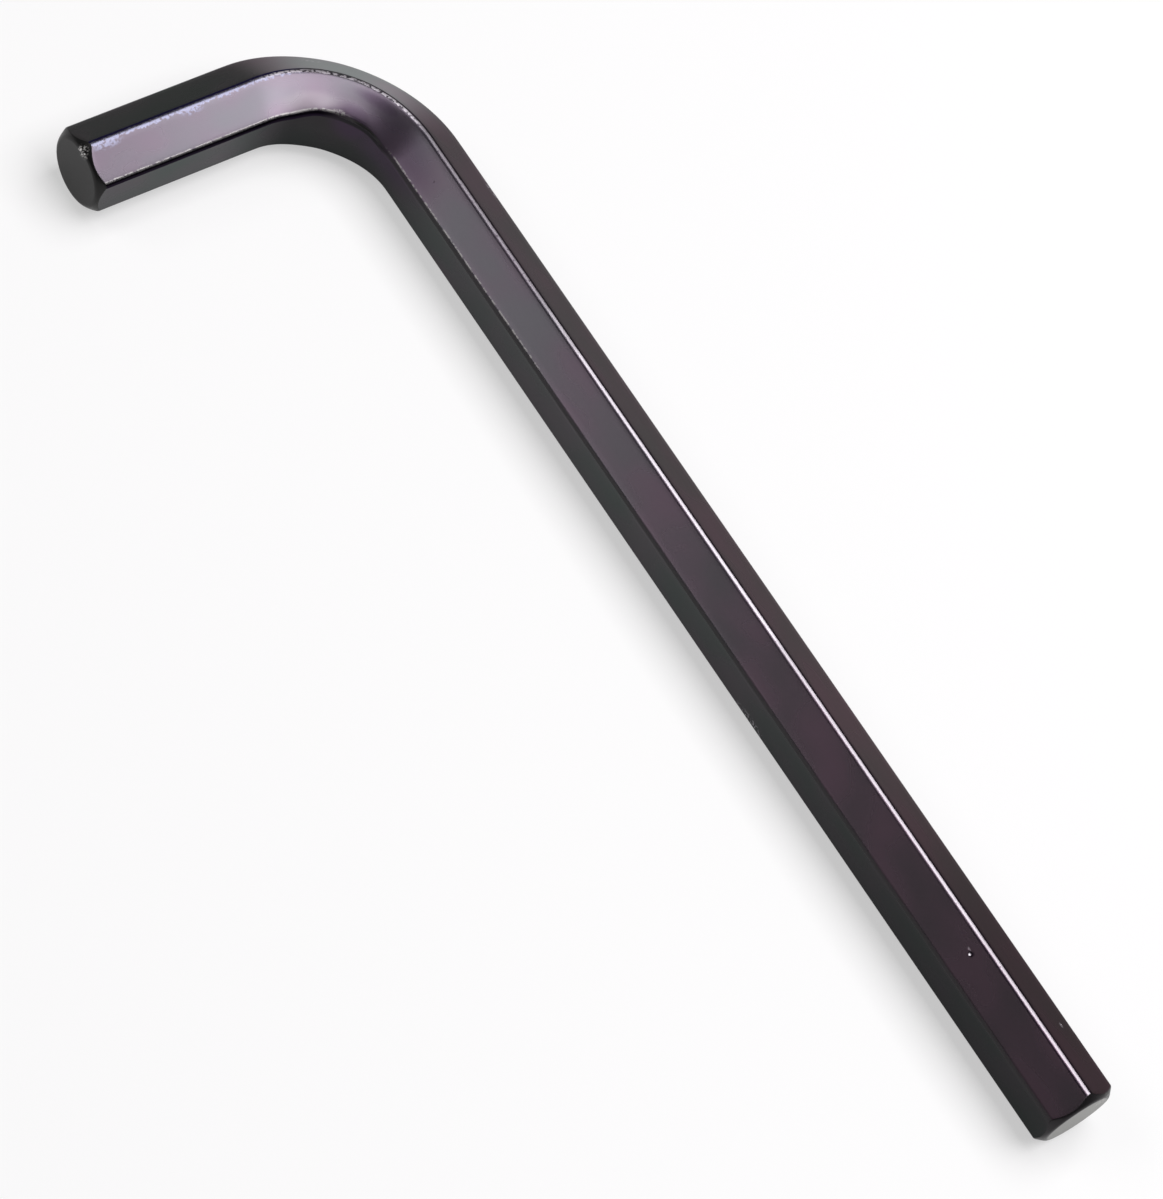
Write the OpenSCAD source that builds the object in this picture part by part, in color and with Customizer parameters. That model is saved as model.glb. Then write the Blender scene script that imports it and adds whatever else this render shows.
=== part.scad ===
// Hex key: one hexagonal steel bar, bent once at a right angle, with both tips turned to a chamfer.
// It lies as it would on a table: Z = 0 is the table, the long leg points along +X, the short leg along -Y.
// The bar is bent over a flat, so that its corners point up and down and a flat faces the inside of the bend.
// The origin is on the table, below the middle of the key's length and width.

/* [Bar] */
// Width across the flats of the hexagon, which is the size of the key
across_flats = 5; // [4:0.5:8]
// Radius of the long edges, as the bar comes from the drawing die
edge_round = 0.5; // [0.1:0.05:0.6]

/* [Legs] */
// Length of the long leg, from the outside of the bend to its tip
long_leg = 85; // [60:1:200]
// Length of the short leg, from the outside of the bend to its tip
short_leg = 23.5; // [20:0.5:60]

/* [Bend] */
// Radius on the inside of the bend, at the inner flat
bend_inner_radius = 6; // [2:0.5:8]

/* [Tips] */
// How far the chamfer cuts in from the corners, at the end face
chamfer_depth = 0.5; // [0.3:0.05:0.8]
// Angle between the chamfer and the axis of the leg
chamfer_angle = 45; // [30:5:60]
// Radius that blends the end face into the chamfer
tip_round = 0.4; // [0.1:0.05:0.6]

/* [Finish] */
// Colour of the surface
key_colour = "#2a252c"; // ["#2a252c":Black oxide, "#a6a6aa":Nickel plate]

/* [Hidden] */
sides = 6;
round_steps = 96;
// The bar runs on past its tips by this much before the tips are turned
turning_allowance = 1;
half_flats = across_flats / 2;
// The rounds of the corners are centred on this radius, and the finished corners reach the next one
corner_centre = (half_flats - edge_round) / cos(180 / sides);
half_corners = corner_centre + edge_round;
bend_radius = bend_inner_radius + half_flats;
// Lengths on the centre lines, from the point where the two lines would cross
long_reach = long_leg - half_flats;
short_reach = short_leg - half_flats;

// Point at a radius and an angle
function polar(radius, angle) = [radius * cos(angle), radius * sin(angle)];

// Direction of a corner of the hexagon, the first one straight up
function corner_angle(i) = 90 + i * 360 / sides;

// The two points where the round of a corner runs into its flats
function corner_ends(i) = [
    for (side = [-1, 1])
        polar(corner_centre, corner_angle(i)) + polar(edge_round, corner_angle(i) + side * 180 / sides)
];

// Section of the bar: corners up and down, flats to the left and right
module hex_section() {
    polygon([for (i = [0:sides - 1]) each corner_ends(i)]);
    for (i = [0:sides - 1])
        translate(polar(corner_centre, corner_angle(i)))
            circle(r = edge_round, $fn = round_steps);
}

// Turned outline of a tip: end face at Z = 0, blend, chamfer, then clear of the corners down the leg
module tip_outline(length) {
    sharp_r = half_corners - chamfer_depth;
    blend_run = tip_round * tan(45 - chamfer_angle / 2);
    face_r = sharp_r - blend_run;
    blend_centre = [face_r, -tip_round];
    blend_end = blend_centre + polar(tip_round, chamfer_angle);
    clear_r = half_corners + edge_round;
    clear_z = -(clear_r - sharp_r) / tan(chamfer_angle);
    root = -length - turning_allowance;
    polygon([[0, 0], [face_r, 0], blend_end, [clear_r, clear_z], [clear_r, root], [0, root]]);
    translate(blend_centre)
        circle(r = tip_round, $fn = round_steps);
}

// Straight leg that stands on Z = 0 with its turned tip at the top
module leg(length) {
    intersection() {
        linear_extrude(length + turning_allowance)
            hex_section();
        translate([0, 0, length])
            rotate_extrude($fn = round_steps)
                tip_outline(length);
    }
}

// Quarter turn of the bar about Z, at the radius of the bend
module bend() {
    rotate_extrude(angle = 90, $fn = round_steps)
        translate([bend_radius, 0])
            hex_section();
}

// The whole bar, with its centre lines crossing at the origin
module bar() {
    translate([bend_radius, -bend_radius, 0])
        rotate([0, 0, 90])
            bend();
    translate([bend_radius, 0, 0])
        rotate([90, 0, 90])
            leg(long_reach - bend_radius);
    translate([0, -bend_radius, 0])
        rotate([90, 0, 0])
            leg(short_reach - bend_radius);
}

module hex_key() {
    color(key_colour)
        translate([half_flats - long_leg / 2, short_leg / 2 - half_flats, half_corners])
            bar();
}

hex_key();
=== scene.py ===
import math
import bpy
from mathutils import Matrix, Vector


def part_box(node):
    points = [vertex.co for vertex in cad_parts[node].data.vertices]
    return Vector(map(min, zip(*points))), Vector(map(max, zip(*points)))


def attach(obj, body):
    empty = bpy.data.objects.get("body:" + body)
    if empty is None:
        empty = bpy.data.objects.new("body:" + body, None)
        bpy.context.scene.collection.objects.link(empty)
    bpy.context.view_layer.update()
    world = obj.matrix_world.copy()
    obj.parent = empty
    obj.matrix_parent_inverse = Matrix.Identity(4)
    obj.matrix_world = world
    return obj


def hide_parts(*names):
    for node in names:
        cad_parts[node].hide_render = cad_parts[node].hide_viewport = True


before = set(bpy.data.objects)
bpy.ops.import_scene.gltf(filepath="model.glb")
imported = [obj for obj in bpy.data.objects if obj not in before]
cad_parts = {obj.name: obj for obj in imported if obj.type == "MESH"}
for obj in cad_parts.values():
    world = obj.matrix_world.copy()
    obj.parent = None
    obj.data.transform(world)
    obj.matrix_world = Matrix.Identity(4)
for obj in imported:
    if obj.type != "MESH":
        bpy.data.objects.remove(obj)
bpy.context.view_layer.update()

mm = 0.001


def inMm(values):
    return tuple(value * mm for value in values)


# Camera, at the photo's angle

photoCamera = {
    "target": Vector((-0.0003, 0.0011, 0.0028)),   # what the middle of the picture looks at
    "azimuth": -30.48,                             # 0 looks along +Y
    "elevation": 57.24,
    "roll": 29.60,
    "distance": 0.2712,
    "lens": 132.5,
    "sensor": 36.0,
    "clipStart": 0.01,
}


def addCamera(settings):
    azimuth = math.radians(settings["azimuth"])
    elevation = math.radians(settings["elevation"])
    ahead = Vector((math.sin(azimuth) * math.cos(elevation),
                    math.cos(azimuth) * math.cos(elevation),
                    -math.sin(elevation)))
    level = ahead.cross(Vector((0, 0, 1))).normalized()
    above = level.cross(ahead)
    turn = Matrix((level, above, -ahead)).transposed().to_4x4()
    place = Matrix.Translation(settings["target"] - ahead * settings["distance"])
    bpy.ops.object.camera_add()
    camera = bpy.context.active_object
    camera.name = "photoCamera"
    camera.matrix_world = place @ turn @ Matrix.Rotation(math.radians(settings["roll"]), 4, "Z")
    camera.data.lens = settings["lens"]
    camera.data.sensor_width = settings["sensor"]
    camera.data.clip_start = settings["clipStart"]
    bpy.context.scene.camera = camera


addCamera(photoCamera)
print("camera placed")


# The hex key: the bar is drawn, bent over a flat, and its tips are turned

keyShape = {
    "acrossFlats": 5.0 * mm,
    "edgeRound": 0.5 * mm,
    "edgeSteps": 10,          # segments on each long edge
    "flatSteps": 8,           # segments across each flat
    "legStep": 0.8 * mm,      # spacing of the cross cuts on the straight legs
    "bendInside": 6.0 * mm,
    "bendSteps": 72,
    "mergeWithin": 0.001 * mm,
    "chamferDepth": 0.5 * mm,
    "chamferAngle": 45.0,
    "tipRound": 0.4 * mm,     # from the chamfer to the end face
    "roundSteps": 8,          # segments of that rounding
    "toolSteps": 160,         # segments round the turning tool
    "allowance": 1.0 * mm,    # the bar is this much too long until its tips are turned
    "softEdge": 0.07 * mm,    # radius where the chamfer meets the flats
    "softSteps": 3,
    "softAngle": 20.0,        # edges sharper than this are softened
    "smoothAngle": 30.0,
    "flatWeight": 80,         # how strongly the flats keep their own shading
    "ballSteps": 5,           # how finely the ball that strikes a pit is divided
    "swell": 0.5,             # how far the bend swells inside and draws in outside
    "swellInside": 0.75,      # the same for the height of its inner half
    "settle": 0.0038,         # and how much flatter it gets
    "swellFrom": (-5, 34),    # turn in degrees over which the swelling sets in
    "swellTo": (46, 94),      # and over which it fades
    "press": 0.27 * mm,       # how far the upper inner corner is pressed along the flat above it
    "pressFrom": (15, 35),    # turn in degrees, as for the swelling
    "pressTo": (60, 80),
    "pressHeight": (0.3 * mm, 1.3 * mm),      # the middle of the inner flat stays
    "pressAcross": (-2.3 * mm, -1.0 * mm),    # and so does the upper half of the flat above
}

keyPits = [
    # in mm: place along the bar from the start of the bend, direction of the flat in degrees from the top,
    # place across the flat, radius, depth
    (75.98, -30, 0.33, 0.20, 0.10),
    (75.66, -30, 0.40, 0.07, 0.03),
    (82.29, 30, 0.43, 0.07, 0.03),
    (15.80, -30, 0.00, 0.06, 0.025),
    (42.00, 150, 0.60, 0.11, 0.035),
    (-7.20, 90, -0.40, 0.08, 0.025),
    (60.30, 90, 0.75, 0.13, 0.04),
]

halfSide = math.pi / 6        # from the middle of a flat to its corner, seen from the tip
quarterTurn = math.pi / 2
looksDown = -0.9              # a face whose normal has less height than this looks down


def nothingSelected():
    if bpy.context.mode != "OBJECT":
        bpy.ops.object.mode_set(mode="OBJECT")
    bpy.ops.object.select_all(action="DESELECT")


def onlySelected(piece):
    nothingSelected()
    piece.select_set(True)
    bpy.context.view_layer.objects.active = piece


def applyModifiers(piece):
    onlySelected(piece)
    for modifier in list(piece.modifiers):
        bpy.ops.object.modifier_apply(modifier=modifier.name)


def settleAtOrigin(piece):
    onlySelected(piece)
    bpy.ops.object.transform_apply(location=True, rotation=True, scale=True)


def cutAway(piece, tool):
    cut = piece.modifiers.new("cutAway", "BOOLEAN")
    cut.operation = "DIFFERENCE"
    cut.solver = "EXACT"
    cut.object = tool
    applyModifiers(piece)
    bpy.data.objects.remove(tool)


def ease(value, start, end):
    part = min(max((value - start) / (end - start), 0.0), 1.0)
    return part * part * (3 - 2 * part)


def barLine(settings):
    # Where the middle of the bar runs, and where its tips are
    low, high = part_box("hex_key")
    halfFlats = settings["acrossFlats"] / 2
    radius = settings["bendInside"] + halfFlats
    middle = (low.z + high.z) / 2
    return {
        "bendCentre": Vector((low.x + halfFlats + radius, high.y - halfFlats - radius, middle)),
        "bendRadius": radius,
        "shortTip": Vector((low.x + halfFlats, low.y, middle)),
        "longTip": Vector((high.x, high.y - halfFlats, middle)),
    }


def drawSection(settings, line):
    # A hexagon with rounded corners just past the short tip, one corner up, its flats cut into steps
    halfFlats = settings["acrossFlats"] / 2
    start = line["shortTip"] - Vector((0, settings["allowance"], 0))
    nothingSelected()
    bpy.ops.mesh.primitive_circle_add(vertices=6, radius=halfFlats / math.cos(halfSide), fill_type="NGON",
                                      location=start, rotation=(quarterTurn, 0, 0))
    section = bpy.context.active_object
    settleAtOrigin(section)
    bpy.ops.object.mode_set(mode="EDIT")
    bpy.ops.mesh.select_all(action="SELECT")
    bpy.ops.mesh.bevel(offset=settings["edgeRound"] * math.tan(halfSide), offset_type="OFFSET",
                       affect="VERTICES", segments=settings["edgeSteps"], profile=0.5)
    bpy.ops.mesh.select_mode(type="EDGE")
    bpy.ops.mesh.select_all(action="DESELECT")
    bpy.ops.object.mode_set(mode="OBJECT")
    corners = section.data.vertices
    for edge in section.data.edges:
        first, second = (corners[i].co for i in edge.vertices)
        edge.select = (first - second).length > halfFlats / 2      # only the flats are this long
    bpy.ops.object.mode_set(mode="EDIT")
    bpy.ops.mesh.subdivide(number_cuts=settings["flatSteps"] - 1)
    bpy.ops.object.mode_set(mode="OBJECT")
    return section


def extrudeAlong(way, length, step):
    cuts = max(1, round(length / step))
    for _ in range(cuts):
        bpy.ops.mesh.extrude_region_move(TRANSFORM_OT_translate={"value": way * (length / cuts)})


def drawBar(settings, line):
    # Short leg, bend and long leg, one after the other from the same face
    key = drawSection(settings, line)
    key.name = "hexKey"
    shortRun = line["bendCentre"].y - line["shortTip"].y + settings["allowance"]
    longRun = line["longTip"].x - line["bendCentre"].x + settings["allowance"]
    bpy.ops.object.mode_set(mode="EDIT")
    bpy.ops.mesh.select_mode(type="FACE")
    bpy.ops.mesh.select_all(action="SELECT")
    extrudeAlong(Vector((0, 1, 0)), shortRun, settings["legStep"])
    bpy.ops.mesh.spin(steps=settings["bendSteps"], angle=quarterTurn, center=line["bendCentre"],
                      axis=(0, 0, 1))
    extrudeAlong(Vector((1, 0, 0)), longRun, settings["legStep"])
    bpy.ops.mesh.select_all(action="SELECT")
    bpy.ops.mesh.remove_doubles(threshold=settings["mergeWithin"])
    bpy.ops.mesh.normals_make_consistent(inside=False)
    bpy.ops.object.mode_set(mode="OBJECT")
    return key


def tipWaste(settings, tip, turn):
    # The waste round a tip: a solid block with the finished tip hollowed out of it
    halfFlats = settings["acrossFlats"] / 2
    cornerRadius = (halfFlats - settings["edgeRound"]) / math.cos(halfSide) + settings["edgeRound"]
    angle = math.radians(settings["chamferAngle"])
    sharpRadius = cornerRadius - settings["chamferDepth"]
    faceRadius = sharpRadius - settings["tipRound"] * math.tan((quarterTurn - angle) / 2)
    mouthRadius = cornerRadius + settings["edgeRound"]
    mouthDepth = (mouthRadius - sharpRadius) / math.tan(angle)
    blockRadius = mouthRadius + settings["allowance"]
    blockTop = 2 * settings["allowance"]      # past the end of the uncut bar
    rings = [(mouthRadius, -mouthDepth)]
    for i in range(settings["roundSteps"] + 1):
        way = angle + (quarterTurn - angle) * i / settings["roundSteps"]
        rings.append((faceRadius + settings["tipRound"] * math.cos(way),
                      settings["tipRound"] * (math.sin(way) - 1)))
    nothingSelected()
    height = blockTop + mouthDepth
    bpy.ops.mesh.primitive_cylinder_add(vertices=settings["toolSteps"], radius=blockRadius, depth=height,
                                        location=(0, 0, blockTop - height / 2))
    tool = bpy.context.active_object
    settleAtOrigin(tool)
    for face in tool.data.polygons:
        face.select = face.normal.z < looksDown
    bpy.ops.object.mode_set(mode="EDIT")
    bpy.ops.mesh.select_mode(type="FACE")
    bpy.ops.mesh.inset(thickness=settings["allowance"], use_even_offset=False)
    radius, depth = mouthRadius, -mouthDepth
    for ringRadius, ringDepth in rings:
        bpy.ops.mesh.extrude_region_move(TRANSFORM_OT_translate={"value": (0, 0, ringDepth - depth)})
        bpy.ops.transform.resize(value=(ringRadius / radius, ringRadius / radius, 1),
                                 center_override=(0, 0, ringDepth))
        radius, depth = ringRadius, ringDepth
    bpy.ops.object.mode_set(mode="OBJECT")
    tool.matrix_world = Matrix.Translation(tip) @ turn
    settleAtOrigin(tool)
    return tool


def softenEdges(key, settings):
    soften = key.modifiers.new("softEdges", "BEVEL")
    soften.width = settings["softEdge"]
    soften.segments = settings["softSteps"]
    soften.limit_method = "ANGLE"
    soften.angle_limit = math.radians(settings["softAngle"])
    soften.use_clamp_overlap = False
    applyModifiers(key)


def pitTool(settings, line, pit):
    # A ball that dips into one flat of a straight leg
    along, facing, across, radius, depth = pit
    along, across, radius, depth = inMm((along, across, radius, depth))
    way = math.radians(facing)
    ball = (radius ** 2 + depth ** 2) / (2 * depth)
    rise = settings["acrossFlats"] / 2 + ball - depth
    outward = rise * math.sin(way) + across * math.cos(way)
    upward = rise * math.cos(way) - across * math.sin(way)
    bendRadius = line["bendRadius"]
    if along < 0:
        offset = Vector((-bendRadius - outward, along, upward))
    else:
        offset = Vector((along - bendRadius * quarterTurn, bendRadius + outward, upward))
    nothingSelected()
    bpy.ops.mesh.primitive_ico_sphere_add(subdivisions=settings["ballSteps"], radius=ball,
                                          location=line["bendCentre"] + offset)
    tool = bpy.context.active_object
    settleAtOrigin(tool)
    return tool


def straightPlace(line, point):
    # Place on the bar as if it were straight: along it, outwards across it, and up
    offset = point - line["bendCentre"]
    outX, outY = min(offset.x, 0), max(offset.y, 0)
    turn = math.atan2(outY, -outX)
    along = max(offset.x, 0) + min(offset.y, 0) + line["bendRadius"] * turn
    return Vector((along, math.hypot(outX, outY) - line["bendRadius"], offset.z))


def noteStraightPlaces(key, line):
    # The finish follows the bar round the bend by this attribute
    places = key.data.attributes.new("straightPlace", "FLOAT_VECTOR", "POINT")
    for vertex, place in zip(key.data.vertices, places.data):
        place.vector = straightPlace(line, vertex.co)


def swelling(settings, bendRadius, turn, across, height):
    # Bent steel swells inside the bend, draws in outside it and flattens a little
    amount = ease(turn, *settings["swellFrom"]) * (1 - ease(turn, *settings["swellTo"]))
    rise = settings["swellInside"] if across < 0 else settings["swell"]
    outward = amount * settings["swell"] * (height ** 2 - across ** 2) / (2 * bendRadius)
    upward = -amount * (rise * across / bendRadius + settings["settle"]) * height
    return outward, upward


def pressing(settings, turn, across, height):
    # The upper inner corner of the bend slides along the flat above it
    pressed = ease(turn, *settings["pressFrom"]) * (1 - ease(turn, *settings["pressTo"]))
    pressed *= ease(height, *settings["pressHeight"]) * (1 - ease(across, *settings["pressAcross"]))
    slide = pressed * settings["press"]
    return slide * math.cos(halfSide), slide * math.sin(halfSide)


def shapeBend(key, settings, line):
    places = key.data.attributes["straightPlace"].data
    for vertex, place in zip(key.data.vertices, places):
        along, across, height = place.vector
        turn = math.degrees(along / line["bendRadius"])
        swollenOut, swollenUp = swelling(settings, line["bendRadius"], turn, across, height)
        pressedOut, pressedUp = pressing(settings, turn, across, height)
        offset = vertex.co - line["bendCentre"]
        out = Vector((min(offset.x, 0), max(offset.y, 0), 0)).normalized()
        vertex.co += out * (swollenOut + pressedOut) + Vector((0, 0, swollenUp + pressedUp))


def smoothKey(key, settings):
    onlySelected(key)
    bpy.ops.object.shade_smooth_by_angle(angle=math.radians(settings["smoothAngle"]))
    flats = key.modifiers.new("flatFlats", "WEIGHTED_NORMAL")
    flats.keep_sharp = True
    flats.weight = settings["flatWeight"]
    applyModifiers(key)


keyLine = barLine(keyShape)
key = drawBar(keyShape, keyLine)
print("bar drawn and bent:", len(key.data.polygons), "faces")
cutAway(key, tipWaste(keyShape, keyLine["shortTip"], Matrix.Rotation(quarterTurn, 4, "X")))
cutAway(key, tipWaste(keyShape, keyLine["longTip"], Matrix.Rotation(quarterTurn, 4, "Y")))
softenEdges(key, keyShape)
print("tips turned:", len(key.data.polygons), "faces")
for pit in keyPits:
    cutAway(key, pitTool(keyShape, keyLine, pit))
print("pits struck:", len(key.data.polygons), "faces")
noteStraightPlaces(key, keyLine)
shapeBend(key, keyShape, keyLine)
smoothKey(key, keyShape)
print("bend swollen, key smoothed")

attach(key, "root")
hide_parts("hex_key")


# Tools for the finishes

def feed(tree, socket, source):
    if isinstance(source, bpy.types.NodeSocket):
        tree.links.new(source, socket)
    else:
        socket.default_value = source


def reckon(tree, operation, *sources):
    node = tree.nodes.new("ShaderNodeMath")
    node.operation = operation
    for socket, source in zip(node.inputs, sources):
        feed(tree, socket, source)
    return node.outputs[0]


def product(tree, first, *others):
    for other in others:
        first = reckon(tree, "MULTIPLY", first, other)
    return first


def total(tree, first, *others):
    for other in others:
        first = reckon(tree, "ADD", first, other)
    return first


def largest(tree, first, *others):
    for other in others:
        first = reckon(tree, "MAXIMUM", first, other)
    return first


def reckonVectors(tree, operation, *sources):
    node = tree.nodes.new("ShaderNodeVectorMath")
    node.operation = operation
    for socket, source in zip(node.inputs, sources):
        feed(tree, socket, source)
    return node.outputs["Value" if operation == "LENGTH" else "Vector"]


def toned(tree, colour, tone):
    node = tree.nodes.new("ShaderNodeVectorMath")
    node.operation = "SCALE"
    feed(tree, node.inputs["Vector"], colour)
    feed(tree, node.inputs["Scale"], tone)
    return node.outputs["Vector"]


def fade(tree, value, start, end, low=0.0, high=1.0):
    # Goes softly from low to high as the value goes from start to end
    node = tree.nodes.new("ShaderNodeMapRange")
    node.interpolation_type = "SMOOTHSTEP"
    for socket, source in zip(node.inputs, (value, start, end, low, high)):
        feed(tree, socket, source)
    return node.outputs[0]


def within(tree, value, start, end, soft):
    # 1 between start and end and 0 outside, with edges of twice the softness
    rise = fade(tree, reckon(tree, "SUBTRACT", value, start), -soft, soft)
    fall = fade(tree, reckon(tree, "SUBTRACT", value, end), -soft, soft, 1.0, 0.0)
    return product(tree, rise, fall)


def mixColour(tree, amount, first, second):
    node = tree.nodes.new("ShaderNodeMix")
    node.data_type = "RGBA"
    for index, source in ((0, amount), (6, first), (7, second)):      # its sockets for colours
        feed(tree, node.inputs[index], source)
    return node.outputs[2]


def mixNumber(tree, amount, first, second):
    node = tree.nodes.new("ShaderNodeMix")
    for index, source in ((0, amount), (2, first), (3, second)):      # its sockets for numbers
        feed(tree, node.inputs[index], source)
    return node.outputs[0]


def splitPlace(tree, place):
    node = tree.nodes.new("ShaderNodeSeparateXYZ")
    feed(tree, node.inputs[0], place)
    return node.outputs


def noise(tree, place, scale, detail=2.0, stretch=(1, 1, 1)):
    spread = tree.nodes.new("ShaderNodeMapping")
    spread.inputs["Scale"].default_value = stretch
    feed(tree, spread.inputs["Vector"], place)
    node = tree.nodes.new("ShaderNodeTexNoise")
    feed(tree, node.inputs["Vector"], spread.outputs[0])
    feed(tree, node.inputs["Scale"], scale)
    node.inputs["Detail"].default_value = detail
    return node.outputs["Fac"]


def newGroup(name, inputs, outputs):
    tree = bpy.data.node_groups.new(name, "ShaderNodeTree")
    for way, sockets in (("INPUT", inputs), ("OUTPUT", outputs)):
        for label, kind in sockets.items():
            tree.interface.new_socket(label, in_out=way, socket_type="NodeSocket" + kind)
    return tree, tree.nodes.new("NodeGroupInput").outputs, tree.nodes.new("NodeGroupOutput").inputs


def placeGroup(tree, group, **values):
    node = tree.nodes.new("ShaderNodeGroup")
    node.node_tree = group
    for label, source in values.items():
        feed(tree, node.inputs[label], source)
    return node.outputs


surfaceLook = {
    "waver": 5200.0,             # noise that makes the sides of a band ragged
    "bandSoft": 0.03 * mm,
    "bandSpecks": 3600.0,        # noise that breaks a band up
    "bandBreak": 0.10,           # how softly it does so
    "cornerFrom": keyShape["acrossFlats"] / 2,    # a band shows only beyond this, toward its corner
    "spotFull": 0.35,            # share of a spot's reach that it fills
    "spotBreak": 0.12,
    "toothShare": 0.3,           # of the height, against the drawing lines
    "lineStretch": (0.02, 1, 1),
}


def makeCornerBand(settings):
    # A ragged, broken band along one long corner, from one distance beside its crest to another
    tree, given, result = newGroup(
        "cornerBand",
        {"Place": "Vector", "Corner": "Float", "From": "Float", "To": "Float",
         "Rag": "Float", "Breaks": "Float"},
        {"Mask": "Float"})
    parts = splitPlace(tree, given["Place"])
    across, height = parts["Y"], parts["Z"]
    sine = reckon(tree, "SINE", given["Corner"])
    cosine = reckon(tree, "COSINE", given["Corner"])
    beside = reckon(tree, "SUBTRACT", product(tree, across, cosine), product(tree, height, sine))
    toward = total(tree, product(tree, across, sine), product(tree, height, cosine))
    waver = noise(tree, given["Place"], settings["waver"])
    waver = reckon(tree, "SUBTRACT", waver, 0.5)      # noise has its middle there
    beside = total(tree, beside, product(tree, waver, given["Rag"]))
    band = within(tree, beside, given["From"], given["To"], settings["bandSoft"])
    near = reckon(tree, "GREATER_THAN", toward, settings["cornerFrom"])
    specks = noise(tree, given["Place"], settings["bandSpecks"], detail=3.0)
    kept = fade(tree, specks, given["Breaks"], total(tree, given["Breaks"], settings["bandBreak"]))
    feed(tree, result["Mask"], product(tree, band, near, kept))
    return tree


def makeRubbedAndPaintedSpot(settings):
    # A small spot where something has knocked or scuffed the oxide, also used for spots of painted light
    # and shade
    tree, given, result = newGroup(
        "rubbedAndPaintedSpot",
        {"Place": "Vector", "Centre": "Vector", "Size": "Vector", "Speckle": "Float", "Breaks": "Float"},
        {"Mask": "Float"})
    offset = reckonVectors(tree, "SUBTRACT", given["Place"], given["Centre"])
    reach = reckonVectors(tree, "LENGTH", reckonVectors(tree, "DIVIDE", offset, given["Size"]))
    inside = fade(tree, reach, settings["spotFull"], 1.0, 1.0, 0.0)
    specks = noise(tree, given["Place"], given["Speckle"], detail=3.0)
    kept = fade(tree, specks, given["Breaks"], total(tree, given["Breaks"], settings["spotBreak"]))
    feed(tree, result["Mask"], product(tree, inside, kept))
    return tree


def makeSkinGrain(settings):
    # Fine tooth of the oxide with faint lines from the drawing die
    tree, given, result = newGroup(
        "skinGrain",
        {"Place": "Vector", "Tooth": "Float", "Lines": "Float"},
        {"Height": "Float"})
    tooth = noise(tree, given["Place"], given["Tooth"], detail=3.0)
    lines = noise(tree, given["Place"], given["Lines"], stretch=settings["lineStretch"])
    feed(tree, result["Height"], total(tree, product(tree, tooth, settings["toothShare"]), lines))
    return tree


cornerBand = makeCornerBand(surfaceLook)
rubbedAndPaintedSpot = makeRubbedAndPaintedSpot(surfaceLook)
skinGrain = makeSkinGrain(surfaceLook)
print("wear and grain ready")


# Black oxide on the bar, which runs from -12.5 mm to 87.4 mm, with the bend from 0 to 13.4 mm

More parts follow.
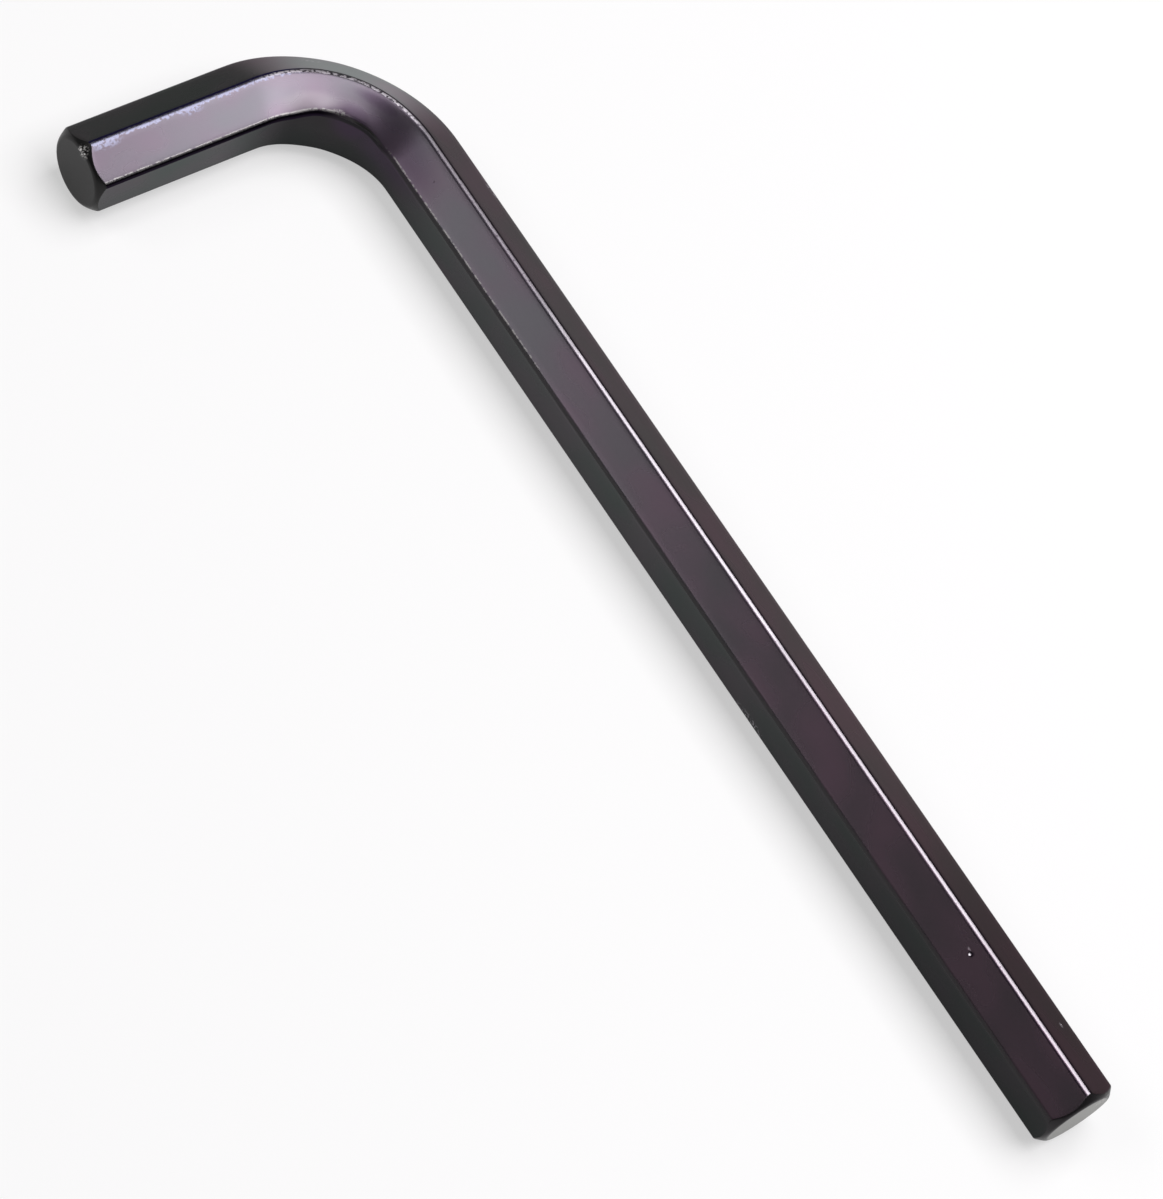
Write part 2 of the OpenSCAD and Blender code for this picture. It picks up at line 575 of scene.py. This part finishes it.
oxideFinish = {
    "near": (0.114, 0.100, 0.118, 1),      # at the bend
    "far": (0.108, 0.078, 0.096, 1),       # at the long tip
    "farRun": (14 * mm, 80 * mm),          # where the one passes into the other
    # painted light: the short leg lighter toward the bend
    "barTones": [
        # from and to along the bar, tone before and after
        (-13 * mm, 0 * mm, 0.86, 1.20),
        (0.5 * mm, 3 * mm, 1.0, 1 / 1.20),
    ],
    "outerEdge": (0.0 * mm, 0.3 * mm),     # across the bar, where its outer flats begin
    "outerTones": [
        (60 * mm, 78 * mm, 1.16, 0.68),
    ],
    "outerTint": (0.97, 0.945, 0.84),      # the outer flats of the long leg are painted browner, for the tint of their sheen
    # painted sheen: the outer flats of the short leg in a neutral grey
    "outerShort": (0.086, 0.087, 0.085, 1),
    "outerShortRun": (-1.0 * mm, 3.0 * mm),
    "inner": (0.030, 0.0305, 0.0305),      # the flat that faces the inside of the bend, painted dark for the shadowed floor it reflects
    "innerEdge": (-2.25 * mm, -2.45 * mm),
    # painted light and shade on that flat: lightest on the short leg, darkest in the bend, lighter along
    # the long leg and darker toward its tip
    "innerTones": [
        (-4 * mm, 3 * mm, 4.2, 1.0),
        (9 * mm, 20 * mm, 1.0, 2.35),
        (35 * mm, 80 * mm, 1.0, 0.46),
    ],
    "bendPaintedSheen": (0.26, 0.26, 0.265, 1),   # painted sheen: lighter grey on the outside of the bend
    "bendPaintedSheenRun": (2.5 * mm, 10.5 * mm),
    "bendPaintedSheenSoft": 2.5 * mm,
    "wearAndPaintedLight": {
        # wear and painted light and shade, laid on in this order
        "violet": (0.052, 0.032, 0.060, 1),    # painted shade: dark violet on the upper inner flat through the bend
        "deep": (0.010, 0.006, 0.014, 1),      # painted shade: dark lines beside the rubbed corners, and in a pit
        "navyPaintedShade": (0.015, 0.011, 0.085, 1),      # painted shade: a dark navy line beside the blued corner
        "dull": (0.050, 0.045, 0.048, 1),      # matte corner on the inside of the long leg
        "cornerPaintedShade": (0.020, 0.018, 0.021, 1),      # painted shade on the same corner in the bend, also matte
        "blued": (0.185, 0.188, 0.26, 1),      # oxide rubbed thin, which also paints the highlight along the short leg's top corner
        # pale specks, and painted light on and beside the lower inner corner in the bend
        "pale": (0.26, 0.25, 0.25, 1),
        "steel": (0.66, 0.62, 0.67, 1),        # oxide rubbed through, which along the top corner also paints the highlight
    },
    "bandRunSoft": 1.2 * mm,                  # how softly each band of wear and painted light begins and ends
    "clouds": 330.0,                       # noise of the oil on the oxide
    "cloudStretch": (0.6, 1, 1),
    "cloudLimits": (0.22, 0.78),
    "cloudDark": (0.87, 0.98, 0.93, 1),
    "cloudLight": (1.10, 0.98, 1.06, 1),
    "metallic": 0.80,
    "bendPaintedSheenMetallic": 0.45,
    "dullMetallic": 0.10,
    "roughness": 0.25,
    "cloudRoughness": 0.04,                # how much the oil changes it
    "bendPaintedSheenRoughness": 0.12,
    "dullRoughness": 0.60,
    "steelRoughness": 0.48,
    "steelFull": 0.6,                      # cover of steel from which its own roughness holds
    "grazingTint": (0.35, 0.35, 0.36, 1),
    "tooth": 4500.0,
    "lines": 2600.0,
    "bumpDepth": 0.004 * mm,
    "bumpStrength": 0.5,
}

oxideBands = [
    # lengths in mm: kind, corner in degrees from the top, from and to beside its crest, rag, breaks,
    # run along the bar, share
    # painted shade: a navy line beside the short leg's top corner
    ("navyPaintedShade", 0, 0.09, 0.25, 0.06, 0.0, (-13, 3), 0.9),
    # painted shade: dark lines beside the top corner, and along the lower inner corner
    ("deep", 0, 0.11, 0.25, 0.05, 0.0, (2, 88), 0.7),
    ("deep", 0, -0.26, -0.14, 0.05, 0.0, (12, 88), 0.55),
    ("deep", 0, -0.26, -0.14, 0.05, 0.0, (74, 88), 0.8),
    ("deep", 0, -0.24, -0.13, 0.05, 0.3, (2.5, 12), 0.3),
    ("deep", -60, -0.19, 0.12, 0.03, 0.0, (-13, 6), 0.97),
    ("deep", -60, -0.02, 0.18, 0.04, 0.0, (7.4, 11), 1.0),
    ("deep", -60, 0.14, 0.34, 0.08, 0.0, (7.4, 9.0), 0.45),
    # painted shade along the lower inner corner in the bend
    ("cornerPaintedShade", -60, -0.18, 0.02, 0.04, 0.0, (6.4, 11.5), 1.0),
    ("dull", -60, -0.14, 0.12, 0.04, 0.0, (12, 88), 0.7),
    # wear on the short leg's top corner that also paints its highlight
    ("blued", 0, -0.21, 0.05, 0.50, 0.36, (-13, 3), 0.85),
    # pale bands: from 7 to 11 mm painted light that lifts the dark lower inner corner, elsewhere pale
    # specks along it
    ("pale", -60, 0.02, 0.17, 0.05, 0.0, (7, 11), 0.45),
    ("pale", -60, 0.14, 0.28, 0.08, 0.38, (-13, 7), 1.0),
    ("pale", -60, 0.14, 0.25, 0.06, 0.44, (12, 30), 0.75),
    # along the top corner the steel is wear that also paints the highlight, its share set run by run
    ("steel", 0, -0.12, 0.08, 0.12, 0.42, (1.2, 12), 1.0),
    ("steel", 0, -0.10, 0.10, 0.08, 0.32, (11, 29), 0.28),
    ("steel", 0, -0.10, 0.10, 0.05, 0.25, (27, 88), 0.56),
    ("steel", 0, -0.10, 0.10, 0.05, 0.25, (30, 54), 0.88),
    ("steel", 0, -0.10, 0.10, 0.05, 0.25, (50, 76), 0.66),
    # on the other corners the steel is wear only
    ("steel", 60, -0.09, 0.07, 0.14, 0.45, (-13, 88), 0.3),
    ("steel", 180, -0.10, 0.10, 0.08, 0.38, (-13, 88), 0.8),
]

oxideSpots = [
    # lengths in mm: kind, place along, outwards and up, size, speckle, breaks, share
    # painted shade: dark violet patches on the upper inner flat in the bend
    ("violet", (12.0, -2.0, 1.7), (5.8, 2.8, 2.8), 900.0, 0.0, 0.5),
    ("violet", (8.0, -2.3, 1.45), (2.8, 1.5, 1.5), 900.0, 0.0, 0.6),
    ("violet", (9.2, -0.55, 2.45), (2.6, 0.75, 0.5), 900.0, 0.0, 0.6),
    # painted shade in the pit at 76 mm
    ("deep", (75.98, -0.96, 2.33), (0.25, 0.25, 0.25), 5200.0, 0.0, 0.95),
    # blued spots on the short leg's top corner: wear that also paints its highlight
    ("blued", (-10.9, -0.30, 2.62), (1.4, 0.40, 0.3), 5200.0, 0.42, 0.8),
    ("blued", (-4.6, -0.28, 2.63), (1.1, 0.35, 0.3), 5200.0, 0.44, 0.8),
    # the first pale spot is painted light on the upper inner flat in the bend; the second holds pale specks
    ("pale", (4.2, -1.75, 1.9), (3.2, 0.85, 1.0), 900.0, 0.0, 0.16),
    ("pale", (6.6, -2.25, 1.62), (0.9, 0.25, 0.25), 6500.0, 0.46, 1.0),
    ("steel", (-12.75, -0.1, 2.75), (0.50, 0.45, 0.3), 6500.0, 0.40, 1.0),
    ("steel", (4.4, 1.7, 1.9), (0.8, 0.25, 0.25), 4800.0, 0.48, 0.3),
    ("steel", (17.5, 2.3, 1.5), (1.2, 0.3, 0.4), 5200.0, 0.46, 0.5),
    ("steel", (56.0, -2.4, -1.2), (2.0, 0.6, 0.6), 5200.0, 0.50, 0.3),
    # painted glints in the two pits near 76 mm
    ("steel", (75.66, -0.88, 2.38), (0.20, 0.06, 0.10), 5200.0, 0.3, 0.35),
    ("steel", (75.95, -1.00, 2.31), (0.13, 0.13, 0.20), 5200.0, 0.0, 1.0),
    ("steel", (82.3, 1.62, 1.95), (0.25, 0.15, 0.15), 5200.0, 0.2, 0.3),
]


def startMaterial(name):
    material = bpy.data.materials.new(name)
    material.use_nodes = True
    tree = material.node_tree
    place = tree.nodes.new("ShaderNodeAttribute")
    place.attribute_name = "straightPlace"
    return material, tree, tree.nodes["Principled BSDF"].inputs, place.outputs["Vector"]


def addBump(tree, settings, height):
    bump = tree.nodes.new("ShaderNodeBump")
    bump.inputs["Strength"].default_value = settings["bumpStrength"]
    bump.inputs["Distance"].default_value = settings["bumpDepth"]
    feed(tree, bump.inputs["Height"], height)
    return bump.outputs[0]


def addGrain(tree, place, settings):
    tooth, lines = settings["tooth"], settings["lines"]
    return placeGroup(tree, skinGrain, Place=place, Tooth=tooth, Lines=lines)["Height"]


def addSpot(tree, place, centre, size, speckle, breaks, share):
    spot = placeGroup(tree, rubbedAndPaintedSpot, Place=place, Centre=inMm(centre), Size=inMm(size),
                      Speckle=speckle, Breaks=breaks)["Mask"]
    return product(tree, spot, share)


def wearAndLightMasks(tree, place, along, settings, bands, spots):
    # How far each kind of wear, painted light and painted shade covers the oxide
    masks = {kind: 0.0 for kind in settings["wearAndPaintedLight"]}
    for kind, corner, start, end, rag, breaks, run, share in bands:
        band = placeGroup(tree, cornerBand, Place=place, Corner=math.radians(corner), From=start * mm,
                          To=end * mm, Rag=rag * mm, Breaks=breaks)["Mask"]
        stretch = within(tree, along, *inMm(run), settings["bandRunSoft"])
        masks[kind] = largest(tree, masks[kind], product(tree, band, stretch, share))
    for kind, *spot in spots:
        masks[kind] = largest(tree, masks[kind], addSpot(tree, place, *spot))
    return masks


def toneAlong(tree, along, steps):
    tone = 1.0
    for start, end, before, after in steps:
        tone = product(tree, tone, fade(tree, along, start, end, before, after))
    return tone


def oxideAndPaintedLight(tree, along, outer, inner, settings):
    # Each side of the bar gets its own painted tone and tint, for the light and shade it reflects
    oxide = mixColour(tree, fade(tree, along, *settings["farRun"]), settings["near"], settings["far"])
    oxide = toned(tree, oxide, toneAlong(tree, along, settings["barTones"]))
    oxide = toned(tree, oxide, mixNumber(tree, outer, 1.0, toneAlong(tree, along, settings["outerTones"])))
    oxide = mixColour(tree, outer, oxide, reckonVectors(tree, "MULTIPLY", oxide, settings["outerTint"]))
    short = product(tree, outer, fade(tree, along, *settings["outerShortRun"], 1.0, 0.0))
    oxide = mixColour(tree, short, oxide, settings["outerShort"])
    innerPaintedTone = toned(tree, settings["inner"], toneAlong(tree, along, settings["innerTones"]))
    return mixColour(tree, inner, oxide, innerPaintedTone)


def oxideMaterial(settings, bands, spots):
    material, tree, shader, place = startMaterial("blackOxide")
    parts = splitPlace(tree, place)
    along, across = parts["X"], parts["Y"]
    outer = fade(tree, across, *settings["outerEdge"])
    inner = fade(tree, across, *settings["innerEdge"])
    # the painted sheen on the outside of the bend, with its own metallic and roughness
    bendPaintedSheen = within(tree, along, *settings["bendPaintedSheenRun"], settings["bendPaintedSheenSoft"])
    bendPaintedSheen = product(tree, outer, bendPaintedSheen)
    clouds = noise(tree, place, settings["clouds"], detail=1.5, stretch=settings["cloudStretch"])
    clouds = fade(tree, clouds, *settings["cloudLimits"])
    wornAndPainted = wearAndLightMasks(tree, place, along, settings, bands, spots)

    oxide = oxideAndPaintedLight(tree, along, outer, inner, settings)
    oxide = mixColour(tree, bendPaintedSheen, oxide, settings["bendPaintedSheen"])
    oil = mixColour(tree, clouds, settings["cloudDark"], settings["cloudLight"])
    oxide = reckonVectors(tree, "MULTIPLY", oxide, oil)
    for kind, colour in settings["wearAndPaintedLight"].items():
        oxide = mixColour(tree, wornAndPainted[kind], oxide, colour)
    feed(tree, shader["Base Color"], oxide)

    # Bare steel and the painted shade beside the corners are fully metallic, dull corners hardly at all
    dull = largest(tree, wornAndPainted["dull"], wornAndPainted["cornerPaintedShade"])
    metallic = fade(tree, bendPaintedSheen, 0.0, 1.0, settings["metallic"], settings["bendPaintedSheenMetallic"])
    metallic = largest(tree, metallic, wornAndPainted["steel"], wornAndPainted["deep"])
    feed(tree, shader["Metallic"], mixNumber(tree, dull, metallic, settings["dullMetallic"]))

    roughness = total(tree, product(tree, clouds, settings["cloudRoughness"]),
                      product(tree, bendPaintedSheen, settings["bendPaintedSheenRoughness"]), settings["roughness"])
    roughness = mixNumber(tree, dull, roughness, settings["dullRoughness"])
    roughness = fade(tree, wornAndPainted["steel"], 0.0, settings["steelFull"], roughness, settings["steelRoughness"])
    feed(tree, shader["Roughness"], roughness)
    shader["Specular Tint"].default_value = settings["grazingTint"]
    feed(tree, shader["Normal"], addBump(tree, settings, addGrain(tree, place, settings)))
    return material


# Turned tips: the same oxide over fine rings from the lathe, with a painted reflection on the long end face
# and painted shade on its chamfer

tipFinish = {
    "short": (0.021, 0.0205, 0.0205, 1),
    "long": (0.255, 0.255, 0.24, 1),         # the end face of the long leg is painted light grey, a painted reflection
    "longFrom": (0 * mm, 10 * mm),           # place along the bar that tells the two tips apart
    "chamfer": (0.022, 0.020, 0.022, 1),     # its chamfer is painted dark, as painted shade
    "chamferFrom": (2.10 * mm, 2.24 * mm),   # from the middle of the bar
    "steel": (0.92, 0.90, 0.88, 1),          # in the spots
    "metallic": 0.75,
    "roughness": 0.34,
    "grazingTint": (0.8, 0.8, 0.8, 1),
    "tooth": 7000.0,
    "lines": 2600.0,
    "grainShare": 0.3,
    "rings": 9000.0,                         # per metre of radius
    "ringShare": 0.8,
    "bumpDepth": 0.006 * mm,
    "bumpStrength": 0.5,
    "square": 0.25,                          # how squarely a face must look along the leg to be turned
}

tipSpots = [
    # lengths in mm: place along, outwards and up, size, speckle, breaks, share
    ((-12.45, -0.05, 2.3), (0.5, 0.6, 0.6), 9500.0, 0.50, 1.0),
    ((87.3, 1.4, 1.3), (0.4, 0.9, 0.9), 5200.0, 0.50, 0.3),
]


def latheRings(tree, radius, scale):
    rings = tree.nodes.new("ShaderNodeTexNoise")
    rings.noise_dimensions = "1D"
    feed(tree, rings.inputs["W"], radius)
    rings.inputs["Scale"].default_value = scale
    rings.inputs["Detail"].default_value = 2.0
    return rings.outputs["Fac"]


def tipMaterial(settings, spots):
    material, tree, shader, place = startMaterial("turnedOxide")
    parts = splitPlace(tree, place)
    along, across, height = parts["X"], parts["Y"], parts["Z"]
    radius = reckon(tree, "SQRT", total(tree, product(tree, across, across), product(tree, height, height)))
    onLong = fade(tree, along, *settings["longFrom"])
    oxide = mixColour(tree, onLong, settings["short"], settings["long"])
    chamfer = product(tree, onLong, fade(tree, radius, *settings["chamferFrom"]))
    oxide = mixColour(tree, chamfer, oxide, settings["chamfer"])
    for spot in spots:
        oxide = mixColour(tree, addSpot(tree, place, *spot), oxide, settings["steel"])
    feed(tree, shader["Base Color"], oxide)
    shader["Metallic"].default_value = settings["metallic"]
    shader["Roughness"].default_value = settings["roughness"]
    shader["Specular Tint"].default_value = settings["grazingTint"]
    rings = product(tree, latheRings(tree, radius, settings["rings"]), settings["ringShare"])
    grain = product(tree, addGrain(tree, place, settings), settings["grainShare"])
    feed(tree, shader["Normal"], addBump(tree, settings, total(tree, rings, grain)))
    return material


def finishTips(key, line, reach, square):
    # Faces near a tip that look along their leg take the second material
    tips = ((line["shortTip"], Vector((0, -1, 0))), (line["longTip"], Vector((1, 0, 0))))
    for face in key.data.polygons:
        for tip, way in tips:
            if (face.center - tip).length < reach and face.normal.dot(way) > square:
                face.material_index = 1


key.data.materials.clear()
key.data.materials.append(oxideMaterial(oxideFinish, oxideBands, oxideSpots))
key.data.materials.append(tipMaterial(tipFinish, tipSpots))
finishTips(key, keyLine, keyShape["acrossFlats"], tipFinish["square"])
print("finish made")


# Floor and light

studio = {
    "floorSize": 3.0,
    "floorColour": (0.46, 0.46, 0.46, 1),
    "floorLift": 0.50,                     # its own light, for the camera and reflections only
    "roomColour": (0.08, 0.08, 0.08, 1),
}

softboxes = {
    # edges of each panel over the key and its height in m, turn in degrees
    "overhead": {"left": -0.20, "right": 0.38, "front": -0.015, "back": 0.42, "height": 0.5,
                 "turn": 4, "radiance": 4.3, "colour": (1.0, 0.985, 1.0)},
    "overheadCore": {"left": 0.03, "right": 0.27, "front": -0.015, "back": 0.17, "height": 0.499,
                     "turn": 4, "radiance": 1.6, "colour": (1.0, 0.99, 1.0)},
    "leftPanel": {"left": -0.60, "right": -0.18, "front": -0.60, "back": -0.23, "height": 0.5,
                  "turn": 0, "radiance": 2.1, "colour": (1.0, 0.99, 0.98)},
}


def floorMaterial(settings):
    material = bpy.data.materials.new("paleFloor")
    material.use_nodes = True
    tree = material.node_tree
    tree.nodes.clear()
    output = tree.nodes.new("ShaderNodeOutputMaterial")
    add = tree.nodes.new("ShaderNodeAddShader")
    paper = tree.nodes.new("ShaderNodeBsdfDiffuse")
    lift = tree.nodes.new("ShaderNodeEmission")
    rays = tree.nodes.new("ShaderNodeLightPath").outputs
    paper.inputs["Color"].default_value = settings["floorColour"]
    seen = largest(tree, rays["Is Camera Ray"], rays["Is Glossy Ray"], rays["Is Transmission Ray"])
    feed(tree, lift.inputs["Strength"], product(tree, seen, settings["floorLift"]))
    feed(tree, add.inputs[0], paper.outputs[0])
    feed(tree, add.inputs[1], lift.outputs[0])
    feed(tree, output.inputs["Surface"], add.outputs[0])
    return material


def addFloor(settings):
    nothingSelected()
    bpy.ops.mesh.primitive_plane_add(size=settings["floorSize"])
    floor = bpy.context.active_object
    floor.name = "floor"
    floor.data.materials.append(floorMaterial(settings))
    return floor


def addSoftbox(name, settings):
    width = settings["right"] - settings["left"]
    depth = settings["back"] - settings["front"]
    middle = ((settings["left"] + settings["right"]) / 2, (settings["front"] + settings["back"]) / 2,
              settings["height"])
    bpy.ops.object.light_add(type="AREA", location=middle, rotation=(0, 0, math.radians(settings["turn"])))
    lamp = bpy.context.active_object
    lamp.name = name
    lamp.data.shape = "RECTANGLE"
    lamp.data.size = width
    lamp.data.size_y = depth
    lamp.data.energy = settings["radiance"] * math.pi * width * depth
    lamp.data.color = settings["colour"]


def addRoom(settings):
    world = bpy.data.worlds.new("room")
    world.use_nodes = True
    world.node_tree.nodes["Background"].inputs["Color"].default_value = settings["roomColour"]
    bpy.context.scene.world = world
    bpy.context.scene.view_settings.view_transform = "Standard"


floor = addFloor(studio)
for name, settings in softboxes.items():
    addSoftbox(name, settings)
addRoom(studio)
print("lights and floor placed")
